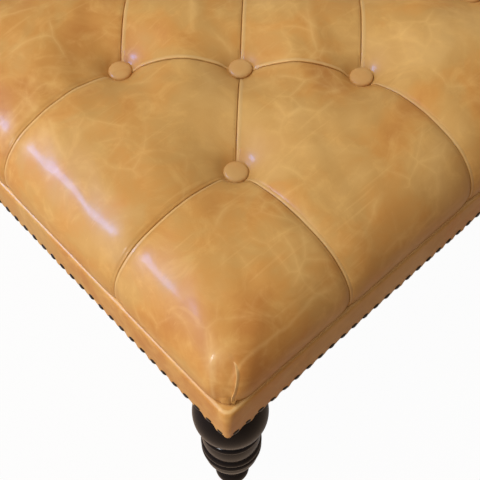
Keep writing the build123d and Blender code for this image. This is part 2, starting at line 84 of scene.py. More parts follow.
# Depths and widths of the quilting
DISH = 108 * MM  # reach of the wide dish round a button
DISH_SHARE = 0.85  # of a tuft's depth
PUCKER_FLOOR = 14 * MM  # radius of the level seat under a button
PUCKER = 14 * MM  # reach of the steep part next to the button
PLEAT_DEPTH = 1.4 * MM
PLEAT_WIDTH = 16 * MM
PLEAT_POWER = 1.6
SIDE_AT = np.array((0, 45, 88, 125, 155, 180, 200, 222, 240)) * MM  # along the leather from the tufts
SIDE_DEPTH = np.array((1.5, 5, 8, 8, 7, 5.5, 4.5, 3.5, 2.5)) * MM
SIDE_WIDTH = np.array((22, 34, 40, 40, 38, 36, 34, 32, 28)) * MM
SIDE_POWER = 2.6
NOTCH = 3 * MM  # cut into the leather under a folded pleat
UNEVEN = 0.7 * MM
FINE_UNEVEN = 0.4 * UNEVEN

# The fold down each corner: height above the band, and distance right of the corner, seen from outside
SLIT = np.array([(0, 3.5), (20, 4.7), (31, 7), (42, 9), (50, 9.9), (57, 8.6), (63, 6)]) * MM
SLIT_TOP = 63 * MM
PANEL_LEFT = -17 * MM
PANEL_STEP = 1.3 * MM
PANEL_DEPTH = 3.2 * MM
PANEL_RAMP = 3 * MM  # the panel's outer step is this wide
PANEL_END = SLIT_TOP + 3 * MM
PANEL_FADE = 10 * MM  # the panel runs out over this height
CREASE_AT = PANEL_LEFT + 1 * MM
CREASE_WIDTH = 3.2 * MM
TOP_RINGS = 20  # the corner folds stay outside these

# Painted shade: how dark the leather is painted in its folds and hollows and at the cushion's foot, where
# shade falls, and how far from them
PLEAT_SHADE, PLEAT_REACH = 0.7, 8 * MM
SLIT_SHADE, SLIT_REACH = 1.6, 5 * MM
FOOT_SHADE, FOOT_REACH, FOOT_POWER = 1.5, 20 * MM, 1.5
TUFT_SHADE = 0.45
FOLD_SHADE = 0.5
LIP_SHADE = 0.4
CREASE_PALE = 0.8  # and how pale where it is creased


# Helpers

def mesh_object(name, verts, faces, material):
    """A mesh piece that rides on the one body, finished with one material."""
    mesh = bpy.data.meshes.new(name)
    mesh.from_pydata(np.asarray(verts).tolist(), [], faces)
    mesh.validate()
    mesh.update()
    mesh.shade_smooth()
    mesh.materials.append(material)
    obj = bpy.data.objects.new(name, mesh)
    bpy.context.scene.collection.objects.link(obj)
    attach(obj, "root")
    return obj


def add_attribute(obj, name, values):
    """A number at each vertex, for the materials."""
    attribute = obj.data.attributes.new(name, "FLOAT", "POINT")
    attribute.data.foreach_set("value", np.asarray(values, np.float32))


def field(x, y, seed, scale):
    """A smooth random field of about unit height, its features about scale wide."""
    draw = np.random.default_rng(seed)
    waves = 10
    total = np.zeros_like(x)
    for _ in range(waves):
        angle = draw.uniform(0, 2 * math.pi)
        rate = 2 * math.pi / scale * draw.uniform(0.5, 1.5)
        total += np.sin(rate * (x * math.cos(angle) + y * math.sin(angle)) + draw.uniform(0, 2 * math.pi))
    return total / math.sqrt(waves / 2)


def unit(vectors):
    """Vectors of length one, along the last axis."""
    return vectors / np.maximum(np.linalg.norm(vectors, axis=-1, keepdims=True), 1e-12)


def grid_normals(points):
    """Unit normals of a grid of points."""
    across = np.gradient(points, axis=0)
    along = np.gradient(points, axis=1)
    return unit(np.cross(across, along))


def closed_strips(count, around):
    """Faces of a body swept through closed sections of around points each, with its two end caps."""
    faces = []
    for i in range(count - 1):
        for j in range(around):
            k = (j + 1) % around
            faces.append((i * around + j, i * around + k, (i + 1) * around + k, (i + 1) * around + j))
    faces.append(tuple(range(around))[::-1])
    faces.append(tuple(range((count - 1) * around, count * around)))
    return faces


def tree_math(tree, operation, a, b):
    """A maths node of two values or sockets."""
    made = tree.nodes.new("ShaderNodeMath")
    made.operation = operation
    for socket, value in zip(made.inputs, (a, b)):
        if isinstance(value, bpy.types.NodeSocket):
            tree.links.new(value, socket)
        else:
            socket.default_value = value
    return made.outputs[0]


# Node-made materials

class Surface:
    """A material under construction, with short calls for its nodes."""

    def __init__(self, name):
        self.material = bpy.data.materials.new(name)
        self.material.use_nodes = True
        self.tree = self.material.node_tree
        self.shader = self.tree.nodes["Principled BSDF"]
        coordinates = self.tree.nodes.new("ShaderNodeTexCoord")
        self.place = coordinates.outputs["Object"]

    def link(self, source, target):
        self.tree.links.new(source, target)

    def node(self, kind, inputs=(), **settings):
        made = self.tree.nodes.new(kind)
        for name, value in settings.items():
            setattr(made, name, value)
        for name, value in dict(inputs).items():
            if isinstance(value, bpy.types.NodeSocket):
                self.tree.links.new(value, made.inputs[name])
            else:
                made.inputs[name].default_value = value
        return made

    def stretched(self, scale, turn=(0, 0, 0), source=None):
        """Coordinates in metres, scaled and turned."""
        inputs = {"Vector": source or self.place, "Scale": scale, "Rotation": turn}
        return self.node("ShaderNodeMapping", inputs).outputs["Vector"]

    def noise(self, scale, detail=4.0, rough=0.5, distortion=0.0, source=None):
        inputs = {
            "Vector": source or self.place, "Scale": scale, "Detail": detail, "Roughness": rough,
            "Distortion": distortion,
        }
        return self.node("ShaderNodeTexNoise", inputs).outputs["Fac"]

    def cells(self, scale, feature="F1", source=None):
        inputs = {"Vector": source or self.place, "Scale": scale}
        return self.node("ShaderNodeTexVoronoi", inputs, feature=feature).outputs["Distance"]

    def ramp(self, source, *stops):
        """A colour or grey ramp; a stop is (place, colour or grey)."""
        made = self.node("ShaderNodeValToRGB", {"Fac": source})
        elements = made.color_ramp.elements
        while len(elements) < len(stops):
            elements.new(0.5)
        for element, (at, colour) in zip(elements, stops):
            element.position = at
            element.color = (*colour, 1) if isinstance(colour, tuple) else (colour, colour, colour, 1)
        return made.outputs["Color"]

    def math(self, operation, a, b=0.0):
        return tree_math(self.tree, operation, a, b)

    def mix(self, amount, a, b):
        """One colour mixed into another."""
        made = self.node("ShaderNodeMix", {0: amount}, data_type="RGBA")
        for socket, value in ((made.inputs[6], a), (made.inputs[7], b)):
            if isinstance(value, bpy.types.NodeSocket):
                self.tree.links.new(value, socket)
            else:
                socket.default_value = (*value, 1)
        return made.outputs[2]

    def bump(self, height, distance, strength, under=None):
        inputs = {"Height": height, "Distance": distance, "Strength": strength}
        if under:
            inputs["Normal"] = under
        return self.node("ShaderNodeBump", inputs).outputs["Normal"]

    def finish(self, colour, rough, normal=None, **constants):
        """Sets the shader's inputs, and gives the material; constants are set on its sockets."""
        for name, value in (("Base Color", colour), ("Roughness", rough), ("Normal", normal)):
            if isinstance(value, bpy.types.NodeSocket):
                self.tree.links.new(value, self.shader.inputs[name])
            elif value is not None:
                self.shader.inputs[name].default_value = (*value, 1) if isinstance(value, tuple) else value
        for name, value in constants.items():
            self.shader.inputs[name.replace("_", " ")].default_value = value
        return self.material


def leather_material(name, blush=0.0):
    """Waxed pull-up leather: mottled tan, with rubbed clouds, pale stretch lines and a fine grain."""
    s = Surface(name)
    rubbed, pale = (0.69, 0.41, 0.135), (0.72, 0.45, 0.165)
    # The palest colour paints stretched leather and painted highlights on edges; the folded colour paints
    # shade in the folds and hollows
    paler, stretch_and_highlight_colour = (0.74, 0.47, 0.18), (0.80, 0.55, 0.25)
    folded, blushed = (0.34, 0.16, 0.045), (0.54, 0.33, 0.16)
    broad = s.noise(4.5, 3, 0.5, 0.8)
    blotch = s.noise(15, 5, 0.6, 0.7)
    tone = s.math("ADD", s.math("MULTIPLY", broad, 0.62), s.math("MULTIPLY", blotch, 0.38))
    colour = s.ramp(
        tone,
        (0.36, (0.49, 0.208, 0.048)), (0.45, (0.56, 0.274, 0.070)), (0.53, (0.54, 0.300, 0.090)),
        (0.66, (0.59, 0.350, 0.120)),
    )
    # Rubbed, paler clouds
    cloud = s.ramp(s.noise(21, 6, 0.66, 1.4), (0.50, 0.0), (0.72, 1.0))
    colour = s.mix(s.math("MULTIPLY", cloud, 0.50), colour, rubbed)
    # Pale lines where the waxed leather was stretched or creased, meeting in stars
    warp = s.node("ShaderNodeTexNoise", {"Vector": s.place, "Scale": 14.0, "Detail": 4.0}).outputs["Color"]
    shift = s.node("ShaderNodeVectorMath", {0: warp, "Scale": 0.019}, operation="SCALE").outputs[0]
    bent = s.node("ShaderNodeVectorMath", {0: s.place, 1: shift}, operation="ADD").outputs[0]
    # For each web: cells to the metre, width of its lines, turn, strength
    webs = ((7.5, 0.018, 1.0, 0.46), (15.0, 0.022, 5.0, 0.44), (27.0, 0.036, 8.0, 0.36))
    for cells, width, turn, strength in webs:
        web = s.cells(cells, "DISTANCE_TO_EDGE", s.stretched((1, 1, 1), (0, 0, turn), source=bent))
        line = s.ramp(web, (0.0, 1.0), (width, 0.5), (width * 3.4, 0.0))
        patch = s.noise(9, 5, 0.62, 0, s.stretched((1, 1, 1), (0, 0, turn)))
        where = s.ramp(patch, (0.51, 0.0), (0.64, 1.0))
        amount = s.math("MULTIPLY", s.math("MULTIPLY", line, where), strength)
        colour = s.mix(amount, colour, pale)
    # Scratches in several directions: the turn, and the scale along and across
    scratches = ((0.35, (5, 130, 60)), (1.25, (6, 150, 60)), (2.0, (4, 110, 60)), (2.75, (7, 170, 60)))
    for turn, scale in scratches:
        hair = s.noise(1.0, 2, 0.5, 0.15, s.stretched(scale, (0, 0, turn)))
        patch = s.noise(7, 3, 0.5, 0, s.stretched((1, 1, 1), (0, turn, 0)))
        where = s.ramp(patch, (0.50, 0.0), (0.60, 1.0))
        mark = s.math("MULTIPLY", s.ramp(hair, (0.655, 0.0), (0.70, 1.0)), where)
        colour = s.mix(s.math("MULTIPLY", mark, 0.18), colour, pale)
    # A stretch line over each end of the long rolls, placed by its inset from just outside the band
    outside, line_inset = 17 * MM, 44 * MM
    parts = s.node("ShaderNodeSeparateXYZ", {0: bent})
    inset_x = s.math("SUBTRACT", LENGTH / 2 + outside, s.math("ABSOLUTE", parts.outputs["X"]))
    inset_y = s.math("SUBTRACT", WIDTH / 2 + outside, s.math("ABSOLUTE", parts.outputs["Y"]))
    across = s.math("ABSOLUTE", s.math("SUBTRACT", inset_y, line_inset))
    centimetres = s.math("MULTIPLY", across, 100)
    line = s.ramp(centimetres, (0.0, 1.0), (0.10, 0.7), (0.28, 0.0))
    along = s.ramp(inset_x, (0.03, 0.0), (0.05, 1.0), (0.17, 0.8), (0.22, 0.0))
    colour = s.mix(s.math("MULTIPLY", s.math("MULTIPLY", line, along), 0.34), colour, paler)
    # Paler where it is drawn over an edge, partly a painted highlight; darker in the folds and hollows,
    # which is painted shade
    drawn = s.node("ShaderNodeAttribute", attribute_name="stretch").outputs["Fac"]
    colour = s.mix(s.math("MULTIPLY", drawn, 0.55), colour, stretch_and_highlight_colour)
    valley = s.node("ShaderNodeAttribute", attribute_name="valley").outputs["Fac"]
    colour = s.mix(s.math("MULTIPLY", valley, 0.30), colour, folded)
    if blush:
        colour = s.mix(blush, colour, blushed)
    pores = s.cells(620, "SMOOTH_F1")
    wrinkle = s.noise(150, 4, 0.6, 0.5)
    normal = s.bump(pores, 0.00016, 0.30)
    normal = s.bump(wrinkle, 0.0005, 0.16, normal)
    normal = s.bump(s.noise(34, 3, 0.5, 0.4), 0.0022, 0.10, normal)
    rough = s.ramp(s.noise(26, 4, 0.6), (0.3, 0.40), (0.7, 0.52))
    return s.finish(
        colour, rough, normal, Specular_IOR_Level=0.24, Coat_Weight=0.14, Coat_Roughness=0.17, Coat_IOR=1.45)


def wood_material(name, dark, pale, grain=1.0):
    """Bare planed wood with straight grain along X."""
    s = Surface(name)
    stretched = s.stretched((3 * grain, 60 * grain, 60 * grain))
    ring = s.noise(1.2, 5, 0.55, 0.6, stretched)
    fibre = s.noise(6.0, 4, 0.6, 0.0, stretched)
    colour = s.mix(ring, dark, pale)
    colour = s.mix(s.math("MULTIPLY", fibre, 0.3), colour, dark)
    return s.finish(colour, 0.62, s.bump(fibre, 0.0003, 0.5))


def ebonised_material():
    """Near-black brown lacquer over turned wood."""
    s = Surface("ebonised_lacquer")
    patina = s.noise(28, 5, 0.6, 0.4)
    colour = s.ramp(
        patina, (0.3, (0.004, 0.003, 0.004)), (0.6, (0.006, 0.004, 0.004)), (0.8, (0.014, 0.008, 0.006))
    )
    fibre = s.noise(3.0, 5, 0.6, 0.0, s.stretched((60, 60, 4)))
    rough = s.ramp(patina, (0.3, 0.12), (0.75, 0.24))
    return s.finish(colour, rough, s.bump(fibre, 0.0002, 0.20), Specular_IOR_Level=0.16)


def nail_material():
    """Dark antique brass."""
    s = Surface("antique_nail")
    spots = s.noise(420, 4, 0.6)
    colour = s.ramp(
        spots, (0.35, (0.018, 0.016, 0.016)), (0.6, (0.040, 0.034, 0.030)), (0.8, (0.10, 0.075, 0.05))
    )
    rough = s.ramp(spots, (0.3, 0.30), (0.7, 0.5))
    return s.finish(colour, rough, s.bump(spots, 0.0002, 0.4), Metallic=0.85)


def metal_material(name, shade):
    """Zinc-plated steel."""
    s = Surface(name)
    spangle = s.noise(240, 3, 0.6)
    colour = s.mix(spangle, tuple(0.8 * c for c in shade), shade)
    rough = s.ramp(spangle, (0.3, 0.28), (0.7, 0.42))
    return s.finish(colour, rough, s.bump(spangle, 0.0001, 0.3), Metallic=0.95)


def cloth_material(name, dark, pale, thread):
    """Woven or felted cloth: two crossing sets of threads, a few to the millimetre."""
    s = Surface(name)
    waves = []
    for turn in (0, math.pi / 2):
        turned = s.stretched((1, 1, 1), (0, 0, turn))
        inputs = {"Vector": turned, "Scale": thread, "Distortion": 1.5, "Detail": 2.0}
        waves.append(s.node("ShaderNodeTexWave", inputs).outputs["Fac"])
    weave = s.math("MULTIPLY", waves[0], waves[1])
    colour = s.mix(weave, dark, pale)
    colour = s.mix(s.math("MULTIPLY", s.noise(20, 4), 0.25), colour, dark)
    return s.finish(colour, 0.9, s.bump(weave, 0.0003, 0.6), Sheen_Weight=0.2)


def foam_material(name, dark, pale):
    """Open-cell foam or lofty wadding."""
    s = Surface(name)
    cell = s.cells(900)
    colour = s.mix(cell, dark, pale)
    return s.finish(colour, 0.95, s.bump(cell, 0.0006, 0.6), Subsurface_Weight=0.05)


def plastic_material(name, shade):
    """Moulded plastic with a fine spark-eroded texture."""
    s = Surface(name)
    grain = s.noise(900, 3, 0.6)
    colour = s.mix(grain, tuple(0.8 * c for c in shade), shade)
    return s.finish(colour, s.ramp(grain, (0.3, 0.42), (0.7, 0.55)), s.bump(grain, 0.0001, 0.4))


leather = leather_material("tan_leather")
button_leather = leather_material("button_leather", blush=0.30)
cad_materials = {
    "leather": leather,
    "batting": foam_material("wadding", (0.72, 0.72, 0.70), (0.88, 0.88, 0.86)),
    "foam": foam_material("cut_foam", (0.70, 0.62, 0.40), (0.82, 0.76, 0.55)),
    "steel": metal_material("zinc_steel", (0.55, 0.55, 0.56)),
    "twine": cloth_material("waxed_twine", (0.55, 0.48, 0.36), (0.74, 0.68, 0.54), 900),
    "plywood": wood_material("plywood", (0.45, 0.28, 0.13), (0.66, 0.48, 0.27), 0.6),
    "pine": wood_material("planed_pine", (0.50, 0.30, 0.13), (0.74, 0.55, 0.31)),
    "felt": cloth_material("needled_felt", (0.45, 0.43, 0.40), (0.66, 0.64, 0.60), 500),
    "glide": plastic_material("glide_plastic", (0.035, 0.035, 0.037)),
    "cambric": cloth_material("black_cambric", (0.010, 0.010, 0.011), (0.030, 0.030, 0.032), 600),
    "ebonised": ebonised_material(),
    "nail": nail_material(),
}


# The cushion

def smooth_line(points, count):
    """Points evenly spaced along a smooth line through the given ones."""
    ends = np.vstack([2 * points[0] - points[1], points, 2 * points[-1] - points[-2]])
    parts = 24  # of each stretch between two given points
    fine = []
    for a, b, c, d in zip(ends, ends[1:], ends[2:], ends[3:]):
        for t in np.linspace(0, 1, parts, endpoint=False):
            fine.append(0.5 * (2 * b + (c - a) * t + (2 * a - 5 * b + 4 * c - d) * t**2
                               + (3 * b - a - 3 * c + d) * t**3))
    fine = np.array(fine + [points[-1]])
    run = np.concatenate([[0], np.cumsum(np.linalg.norm(np.diff(fine, axis=0), axis=1))])
    at = np.linspace(0, run[-1], count)
    return np.stack([np.interp(at, run, fine[:, i]) for i in (0, 1)], 1), run[-1]


profile, profile_length = smooth_line(ROLL, RINGS + 1)
profile = profile[::-1]  # from the tufts to the foot
ring_inset, ring_height = profile[:, 0], profile[:, 1]


def corner_radius(inset):
    """Corner radius of the ring at an inset: nothing at the tufts, most where the top is level."""
    grown = FOOT_RADIUS + (np.clip(inset, 0, WIDEST_AT) - ROLL[0, 0]) * RADIUS_GROWTH
    share = np.clip((inset - WIDEST_AT) / (EDGE - WIDEST_AT), 0, 1)
    return np.maximum(grown * (1 - share**2 * (3 - 2 * share)), 1e-5)


def ring_reach(across, half_across, half_out, radius):
    """How far out a ring's side lies where it passes a place across it, its corner arc included."""
    over = np.clip(np.abs(across) - (half_across - radius), 0, radius)
    return half_out - radius + np.sqrt(np.maximum(radius**2 - over**2, 0))


def cushion_base():
    """The grid of the cushion before it is tufted.

    Each point comes with its ring, its distance round the ring from the corner's middle (nothing away from
    the corners), and the signs of its quarter.
    """
    index_i, index_j = np.meshgrid(
        np.arange(NX + 2 * RINGS + 1), np.arange(NY + 2 * RINGS + 1), indexing="ij")
    from_i, from_j = index_i - RINGS - NX / 2, index_j - RINGS - NY / 2
    sign_x, sign_y = np.where(from_i < 0, -1.0, 1.0), np.where(from_j < 0, -1.0, 1.0)
    a = np.maximum(np.abs(from_i) - NX / 2, 0)
    b = np.maximum(np.abs(from_j) - NY / 2, 0)
    ring = np.maximum(a, b).astype(int)
    inset = ring_inset[ring]
    radius = corner_radius(inset)
    half_x, half_y = LENGTH / 2 - inset, WIDTH / 2 - inset
    x, y = np.abs(from_i) * STEP, np.abs(from_j) * STEP
    # Straight sides keep their place across
    on_y = (b > 0) & (a == 0)
    on_x = (a > 0) & (b == 0)
    y = np.where(on_y, ring_reach(x, half_x, half_y, radius), y)
    x = np.where(on_x, ring_reach(y, half_y, half_x, radius), x)
    # Corners are spaced evenly along their ring
    corner = (a > 0) & (b > 0)
    share = np.where(b >= a, a / np.maximum(2 * ring, 1), 1 - b / np.maximum(2 * ring, 1))
    centre_x, centre_y = half_x - radius, half_y - radius
    start = np.arcsin(np.clip((HALF_X - centre_x) / radius, 0, 1))
    end = np.pi / 2 - np.arcsin(np.clip((HALF_Y - centre_y) / radius, 0, 1))
    first, last = np.maximum(centre_x - HALF_X, 0), np.maximum(centre_y - HALF_Y, 0)
    arc = radius * (end - start)
    run = share * (first + arc + last)
    angle = start + np.clip(run - first, 0, arc) / radius
    corner_x = np.where(run < first, HALF_X + run, centre_x + radius * np.sin(angle))
    corner_y = np.where(
        run > first + arc, centre_y - (run - first - arc), centre_y + radius * np.cos(angle)
    )
    x, y = np.where(corner, corner_x, x), np.where(corner, corner_y, y)
    z = BAND_TOP + ring_height[ring]
    around = np.where(corner, (share - 0.5) * (first + arc + last), np.nan)
    return np.stack([sign_x * x, sign_y * y, z], 2), ring, around, sign_x, sign_y


def tuft_places():
    """Places of the tufts, with the depth of each below the crown, the main rows first."""
    main = [((i - (COLUMNS - 1) / 2) * PITCH, (j - (ROWS - 1) / 2) * PITCH)
            for j in range(ROWS) for i in range(COLUMNS)]
    middle = [((i - (COLUMNS - 2) / 2) * PITCH, (j - (ROWS - 2) / 2) * PITCH)
              for j in range(ROWS - 1) for i in range(COLUMNS - 1)]
    places = []
    for x, y in main + middle:
        edge = abs(abs(x) - HALF_X) < STEP or abs(abs(y) - HALF_Y) < STEP
        places.append((x, y, CROWN - (EDGE_SEAT if edge else INNER_SEAT)))
    return places


tufts = tuft_places()
main_tufts = tufts[:COLUMNS * ROWS]
middle_tufts = tufts[COLUMNS * ROWS:]


def quilting(points, ring):
    """Depth of every grid point below the untufted form, and how near it is to a pleat or button."""
    x, y = points[..., 0], points[..., 1]
    dish, share = np.zeros_like(x), np.zeros_like(x)
    for tx, ty, depth in tufts:
        far = np.maximum(np.hypot(x - tx, y - ty), PUCKER_FLOOR)
        wide = np.clip(1 - far / DISH, 0, 1) ** 2 / (1 - PUCKER_FLOOR / DISH) ** 2
        close = np.clip(1 - (far - PUCKER_FLOOR) / PUCKER, 0, 1) ** 2
        dish += depth * (DISH_SHARE * wide + (1 - DISH_SHARE) * close)
        share = np.maximum(share, wide**2)
    valley = np.zeros_like(x)
    near = np.full_like(x, FAR)
    for mx, my, _ in middle_tufts:
        for sx in (-1, 1):
            for sy in (-1, 1):
                ax, ay = sx / math.sqrt(2), sy / math.sqrt(2)
                along = np.clip((x - mx) * ax + (y - my) * ay, 0, PITCH / math.sqrt(2))
                off = np.hypot(x - mx - along * ax, y - my - along * ay)
                pleat = PLEAT_DEPTH * np.clip(1 - off / PLEAT_WIDTH, 0, 1) ** PLEAT_POWER
                valley = np.maximum(valley, pleat)
                near = np.minimum(near, off)
    down = ring * (profile_length / RINGS)
    depth, wide = np.interp(down, SIDE_AT, SIDE_DEPTH), np.interp(down, SIDE_AT, SIDE_WIDTH)
    for tx, ty, _ in main_tufts:
        for at, edge, across, out in ((tx, ty, x, y), (ty, tx, y, x)):
            limit = HALF_Y if out is y else HALF_X
            if abs(abs(edge) - limit) > STEP:
                continue
            past = (out * np.sign(edge)) - limit
            off = np.where(past >= 0, np.abs(across - at), np.hypot(across - at, past))
            valley = np.maximum(valley, depth * np.clip(1 - off / wide, 0, 1) ** SIDE_POWER)
            near = np.minimum(near, off)
    total = dish + valley * (1 - share)
    return total, near, share


base, ring, around, sign_x, sign_y = cushion_base()
normals = grid_normals(base)
normals[normals[..., 2] < -0.2] *= -1  # outwards
depth, near_pleat, near_tuft = quilting(base, ring)
uneven = UNEVEN * field(base[..., 0], base[..., 1] + base[..., 2], seed=3, scale=0.11)
uneven += FINE_UNEVEN * field(base[..., 0], base[..., 1] - base[..., 2], seed=4, scale=0.045)
fade = np.clip(1 - ring / RINGS, 0, 1) ** 0.5 * (1 - near_tuft)

# A flat panel is folded in at each corner
height = base[..., 2] - BAND_TOP
rightward = np.nan_to_num(-around * sign_x * sign_y, nan=FAR)
slit = np.interp(height, SLIT[:, 0], SLIT[:, 1])
panel = PANEL_STEP * np.clip((rightward - PANEL_LEFT) / PANEL_RAMP, 0, 1)
panel += (PANEL_DEPTH - PANEL_STEP) * np.clip((rightward - PANEL_LEFT) / (slit - PANEL_LEFT), 0, 1)
panel *= rightward < slit
panel *= np.clip((PANEL_END - height) / PANEL_FADE, 0, 1) * (ring > TOP_RINGS) * ~np.isnan(around)
near_slit = np.where(panel > 0, np.abs(rightward - slit), FAR)
crease = np.clip(1 - np.abs(rightward - CREASE_AT) / CREASE_WIDTH, 0, 1)
crease *= (height < SLIT_TOP) & (ring > TOP_RINGS)
surface = base - normals * (depth - uneven * fade + panel)[..., None]
final_normals = grid_normals(surface)
final_normals[np.sum(final_normals * normals, 2) < 0] *= -1


def grid_index(i, j):
    """Number of a grid point in the cushion's list of vertices."""
    return i * surface.shape[1] + j


def tuft_index(x, y):
    """Grid place of a tuft."""
    return round(x / STEP + NX / 2) + RINGS, round(y / STEP + NY / 2) + RINGS


def pleat_paths():
    """Grid places along each pleat, with the step towards the side whose leather laps over."""
    paths = []
    for mx, my, _ in middle_tufts:
        i, j = tuft_index(mx, my)
        for sx in (-1, 1):
            for sy in (-1, 1):
                places = [(i + sx * n, j + sy * n) for n in range(2, CELLS - 1)]
                lap = (1, -sx * sy)
                paths.append((places, lap))
    for tx, ty, _ in main_tufts:
        i, j = tuft_index(tx, ty)
        if abs(abs(ty) - HALF_Y) < STEP:
            step = 1 if ty > 0 else -1
            paths.append(([(i, j + step * n) for n in range(3, RINGS + 1)], (1, 0)))
        if abs(abs(tx) - HALF_X) < STEP:
            step = 1 if tx > 0 else -1
            paths.append(([(i + step * n, j) for n in range(3, RINGS + 1)], (0, -1)))
    return paths


# Section of a folded pleat: share of the way to the grid point on the lapping side (below zero: on the
# other side), and height above the leather in millimetres, round the slit and back underneath
FOLD = (
    (1.5, -0.5), (1.0, -0.03), (0.74, 0.08), (0.52, 0.36), (0.32, 0.72), (0.13, 0.80), (-0.01, 0.48),
    (-0.05, -0.2), (-0.03, -1.2), (0.0, -3.2), (-0.15, -2.0), (-0.19, -0.9), (-0.26, -0.3), (-0.42, -0.02),
    (-0.70, 0.03), (-1.0, -0.03), (-1.5, -0.5), (0.0, -5.0),
)
FOLD_SINK = 0.7  # how far a fold's ends sink into the leather, in millimetres
# How stretched, and so how pale, the leather is at each point of the section; on the lip's rounded fold the
# paleness is also a painted highlight
FOLD_PALE = (0, 0.1, 0.5, 0.9, 1.0, 0.8, 0.1, 0, 0, 0, 0, 0, 0, 0, 0, 0, 0, 0)
# Section of the lip that laps over a corner's panel
LIP = (
    (1.6, -0.14), (1.0, 0.05), (0.6, 0.50), (0.3, 0.95), (0.04, 0.95), (-0.16, 0.55), (-0.22, -0.6),
    (-0.20, -3.6), (0.6, -4.4), (1.5, -1.6),
)
# How pale the lip is at each point: stretched leather, and on its rounded edge also a painted highlight
LIP_PALE = (0, 0.2, 0.8, 1.0, 1.0, 0.2, 0, 0, 0, 0)
# The lip's line is carried on to the slit from two places beside it, on the lapping side
LIP_NEAR, LIP_BEYOND = 3.4 * MM, 8 * MM
LIP_CARRY = 0.74  # of the distance between the two


def fold_strip(points, lap_side, other_side, up, section, ends):
    """A narrow closed strip of folded leather; it sinks into the leather over so many points at each end."""
    rows = []
    last = len(points) - 1
    for number, (p, a, b, n) in enumerate(zip(points, lap_side, other_side, up)):
        rise = min(1.0, number / ends[0], (last - number) / ends[1])
        row = []
        for share, height in section:
            aside = share * (a - p) if share >= 0 else -share * (b - p)
            row.append(p + aside + (height * rise - FOLD_SINK * (1 - rise)) * MM * n)
        rows.append(row)
    return np.array(rows).reshape(-1, 3), closed_strips(len(rows), len(section))


def corner_folds():
    """Signs of each corner, with the rings that its fold crosses and how far from the middle it does."""
    low_rings = [k for k in range(RINGS, 0, -1) if ring_height[k] <= SLIT_TOP]
    aside = np.interp(ring_height[low_rings], SLIT[:, 0], SLIT[:, 1])
    return [
        (sx, sy, [(k, -off * sx * sy) for k, off in zip(low_rings, aside)])
        for sx in (-1, 1) for sy in (-1, 1)
    ]


def ring_walk(k, sx, sy):
    """Points, normals and distances along the corner part of a ring, in grid order."""
    centre_i = RINGS + (NX if sx > 0 else 0)
    centre_j = RINGS + (NY if sy > 0 else 0)
    places = [(centre_i + sx * n, centre_j + sy * k) for n in range(1, k)]
    places += [(centre_i + sx * k, centre_j + sy * n) for n in range(k, 0, -1)]
    i, j = np.array(places).T
    return surface[i, j], final_normals[i, j], around[i, j]


verts = [surface.reshape(-1, 3)]
notched = surface.copy()
# Painted shade: the leather is darkened near the pleats, the tufts and the corner slits and at the cushion's
# foot, where shade falls
dark = PLEAT_SHADE * np.clip(1 - near_pleat / PLEAT_REACH, 0, 1) + TUFT_SHADE * near_tuft
dark += SLIT_SHADE * np.clip(1 - near_slit / SLIT_REACH, 0, 1)
dark += FOOT_SHADE * np.clip(1 - height / FOOT_REACH, 0, 1) ** FOOT_POWER
painted_shade_attribute = [dark.ravel()]
stretch_and_highlight_attribute = [CREASE_PALE * crease.ravel()]
faces = []

# Quads outside the tufts, and triangles split along the pleats between them
count_i, count_j = surface.shape[:2]
for i in range(count_i - 1):
    for j in range(count_j - 1):
        a, b = grid_index(i, j), grid_index(i + 1, j)
        c, d = grid_index(i + 1, j + 1), grid_index(i, j + 1)
        if RINGS <= i < RINGS + NX and RINGS <= j < RINGS + NY:
            even = ((i - RINGS) // CELLS + (j - RINGS) // CELLS) % 2 == 0
            faces += [(a, b, c), (a, c, d)] if even else [(a, b, d), (b, c, d)]
        else:
            faces.append((a, b, c, d))
rim = [grid_index(i, 0) for i in range(count_i)]
rim += [grid_index(count_i - 1, j) for j in range(1, count_j)]
rim += [grid_index(i, count_j - 1) for i in range(count_i - 2, -1, -1)]
rim += [grid_index(0, j) for j in range(count_j - 2, 0, -1)]
faces.append(tuple(rim[::-1]))

total = surface.size // 3
limit_i, limit_j = count_i - 1, count_j - 1
for places, (li, lj) in pleat_paths():
    i, j = np.array(places).T
    lap = surface[np.clip(i + li, 0, limit_i), np.clip(j + lj, 0, limit_j)]
    other = surface[np.clip(i - li, 0, limit_i), np.clip(j - lj, 0, limit_j)]
    reaches_foot = len(places) > CELLS
    ends = (3, 1) if reaches_foot else (3, 3)
    strip, strip_faces = fold_strip(surface[i, j], lap, other, final_normals[i, j], FOLD, ends)
    notched[i, j] -= final_normals[i, j] * NOTCH
    faces += [tuple(total + v for v in face) for face in strip_faces]
    verts.append(strip)
    # Painted shade over the whole folded strip, and paleness on its lip from stretching that is also a
    # painted highlight
    painted_shade_attribute.append(np.full(len(strip), FOLD_SHADE))
    stretch_and_highlight_attribute.append(np.tile(FOLD_PALE, len(places)))
    total += len(strip)

for sx, sy, rows in corner_folds():
    path, lap, other, up = [], [], [], []
    side = sx * sy
    for k, off in rows:
        points, ups, run = ring_walk(k, sx, sy)
        place, beside = [
            np.array([np.interp(at, run, points[:, c]) for c in range(3)])
            for at in (off - side * LIP_NEAR, off - side * LIP_BEYOND)
        ]
        slit_at = place + LIP_CARRY * (place - beside)
        path.append(slit_at)
        lap.append(place)
        other.append(2 * slit_at - place)
        up.append(unit(np.array([np.interp(off, run, ups[:, c]) for c in range(3)])))
    strip, strip_faces = fold_strip(path, lap, other, up, LIP, (2, 3))
    faces += [tuple(total + v for v in face) for face in strip_faces]
    verts.append(strip)
    # Painted shade over the whole lip, and paleness on its rounded edge from stretching that is also a
    # painted highlight
    painted_shade_attribute.append(np.full(len(strip), LIP_SHADE))
    stretch_and_highlight_attribute.append(np.tile(LIP_PALE, len(rows)))
    total += len(strip)

